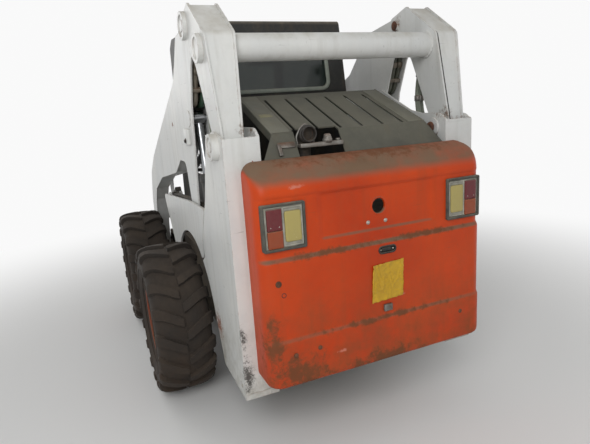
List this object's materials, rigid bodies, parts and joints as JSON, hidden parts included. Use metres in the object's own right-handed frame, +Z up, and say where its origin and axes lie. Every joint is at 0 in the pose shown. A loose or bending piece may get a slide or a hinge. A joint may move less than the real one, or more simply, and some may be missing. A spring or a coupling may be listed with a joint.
{
  "type": "skid steer loader",
  "caption": "Compact loader with vertical-lift arms over a closed cab, rear engine under a slotted hood, swing-out tailgate and bare attachment coupler",
  "frame": {"origin": "on the floor under the middle of the whole machine", "axes": "+X points forward, +Y to the machine's left, +Z up"},
  "size_m": [2.8038, 1.84, 2.0614],
  "materials": {
    "white_paint": "old white enamel, dusty, with rust at seams and edges",
    "chassis_paint": "old off-white enamel under dust and oil",
    "orange_paint": "faded orange enamel, dusty on top and rusty at its foot",
    "hood_paint": "dark grey enamel under olive dust",
    "cab_paint": "black enamel, dusty",
    "black_steel": "black painted steel",
    "engine_iron": "oily dark iron",
    "exhaust_iron": "sooty pipe",
    "cylinder_paint": "black paint, greasy",
    "rod_chrome": "hard chrome, lightly oiled",
    "rim_paint": "faded red oxide, rusty edge",
    "tyre_rubber": "worn rubber with brown dust",
    "seat_vinyl": "black vinyl",
    "grip_plastic": "black moulded plastic",
    "cab_glass": "dusty dark glass",
    "screen_steel": "black perforated steel",
    "lamp_plastic": "weathered grey plastic",
    "lens_red": "red ribbed lens",
    "lens_amber": "amber ribbed lens",
    "lens_clear": "yellowed clear lens"
  },
  "bodies": {
    "machine": {"chassis": "chassis_paint", "upright_left": "white_paint", "upright_right": "white_paint", "fender_left": "white_paint", "fender_right": "white_paint", "engine_block": "engine_iron", "exhaust_pipe": "exhaust_iron"},
    "cab": {"cab_frame": "cab_paint", "cab_rear_glass": "cab_glass", "cab_side_screens": "screen_steel", "seat_pan": "black_steel", "seat": "seat_vinyl", "control_levers": "grip_plastic", "instrument_panels": "grip_plastic"},
    "seat_bar": {"seat_bar": "black_steel"},
    "hood": {"hood": "hood_paint"},
    "tailgate": {"tailgate": "orange_paint", "tailgate_latch": "black_steel", "lamp_housings": "lamp_plastic", "lens_red": "lens_red", "lens_amber": "lens_amber", "lens_clear": "lens_clear"},
    "rear_links": {"rear_link_left": "white_paint", "rear_link_right": "white_paint", "cross_tube": "white_paint"},
    "lift_arms": {"lift_arm_left": "white_paint", "lift_arm_right": "white_paint", "arm_cross_member": "white_paint"},
    "control_links": {"control_link_left": "black_steel", "control_link_right": "black_steel"},
    "lift_barrels": {"lift_barrels": "cylinder_paint"},
    "lift_rods": {"lift_rods": "rod_chrome"},
    "tilt_barrels": {"tilt_barrels": "cylinder_paint"},
    "tilt_rods": {"tilt_rods": "rod_chrome"},
    "coupler": {"coupler_frame": "black_steel", "coupler_levers": "black_steel"},
    "wheel_front_left": {"rim_front_left": "rim_paint", "tyre_front_left": "tyre_rubber"},
    "wheel_front_right": {"rim_front_right": "rim_paint", "tyre_front_right": "tyre_rubber"},
    "wheel_rear_left": {"rim_rear_left": "rim_paint", "tyre_rear_left": "tyre_rubber"},
    "wheel_rear_right": {"rim_rear_right": "rim_paint", "tyre_rear_right": "tyre_rubber"}
  },
  "joints": [
    {"name": "rear_link_swing", "type": "hinge", "parent": "machine", "child": "rear_links", "pos_m": [-1.14991, 0, 1.405], "axis": [0, -1, 0], "range_deg": [0, 0.965]},
    {"name": "arm_lift", "type": "hinge", "parent": "rear_links", "child": "lift_arms", "pos_m": [-0.82491, 0, 1.92], "axis": [0, -1, 0], "range_deg": [0, 63.49]},
    {"name": "control_link_swing", "type": "hinge", "parent": "machine", "child": "control_links", "pos_m": [0.33009, 0, 0.985], "axis": [0, 1, 0], "range_deg": [0, 70.05]},
    {"name": "lift_barrel_swing", "type": "hinge", "parent": "machine", "child": "lift_barrels", "pos_m": [-0.80991, 0, 0.62], "axis": [0, -1, 0], "range_deg": [-4.93, 0]},
    {"name": "lift_rod_slide", "type": "slide", "parent": "lift_barrels", "child": "lift_rods", "axis": [0.2272, 0, 0.9738], "range_m": [0, 0.48147]},
    {"name": "coupler_tilt", "type": "hinge", "parent": "lift_arms", "child": "coupler", "pos_m": [1.29009, 0, 0.222], "axis": [0, 1, 0], "range_deg": [0, 139]},
    {"name": "tilt_barrel_swing", "type": "hinge", "parent": "lift_arms", "child": "tilt_barrels", "pos_m": [0.76009, 0, 0.965], "axis": [0, -1, 0], "range_deg": [0, 4.83]},
    {"name": "tilt_rod_slide", "type": "slide", "parent": "tilt_barrels", "child": "tilt_rods", "axis": [0.6038, 0, -0.7972], "range_m": [0, 0.38755]},
    {"name": "cab_tilt", "type": "hinge", "parent": "machine", "child": "cab", "pos_m": [-0.36991, 0, 1.5], "axis": [0, -1, 0], "range_deg": [0, 40]},
    {"name": "seat_bar_lift", "type": "hinge", "parent": "cab", "child": "seat_bar", "pos_m": [-0.30991, 0, 1.48], "axis": [0, -1, 0], "range_deg": [0, 40]},
    {"name": "hood_open", "type": "hinge", "parent": "machine", "child": "hood", "pos_m": [-0.67491, 0, 1.577], "axis": [0, 1, 0], "range_deg": [0, 35]},
    {"name": "tailgate_swing", "type": "hinge", "parent": "machine", "child": "tailgate", "pos_m": [-1.25191, -0.562, 0.85], "axis": [0, 0, 1], "range_deg": [0, 90]},
    {"name": "wheel_front_left_roll", "type": "hinge", "parent": "machine", "child": "wheel_front_left", "pos_m": [0.78609, 0.7, 0.42], "axis": [0, 1, 0], "continuous": true},
    {"name": "wheel_front_right_roll", "type": "hinge", "parent": "machine", "child": "wheel_front_right", "pos_m": [0.78609, -0.7, 0.42], "axis": [0, 1, 0], "continuous": true},
    {"name": "wheel_rear_left_roll", "type": "hinge", "parent": "machine", "child": "wheel_rear_left", "pos_m": [-0.36591, 0.7, 0.42], "axis": [0, 1, 0], "continuous": true},
    {"name": "wheel_rear_right_roll", "type": "hinge", "parent": "machine", "child": "wheel_rear_right", "pos_m": [-0.36591, -0.7, 0.42], "axis": [0, 1, 0], "continuous": true}
  ],
  "couplings": [
    {"joint": "rear_link_swing", "follows": "arm_lift", "ratio": 0.015041},
    {"joint": "control_link_swing", "follows": "arm_lift", "ratio": 1.1025},
    {"joint": "lift_barrel_swing", "follows": "arm_lift", "ratio": -0.076799},
    {"joint": "lift_rod_slide", "follows": "arm_lift", "m_per_rad": 0.43356},
    {"joint": "tilt_barrel_swing", "follows": "coupler_tilt", "ratio": 0.034401},
    {"joint": "tilt_rod_slide", "follows": "coupler_tilt", "m_per_rad": 0.15934}
  ]
}
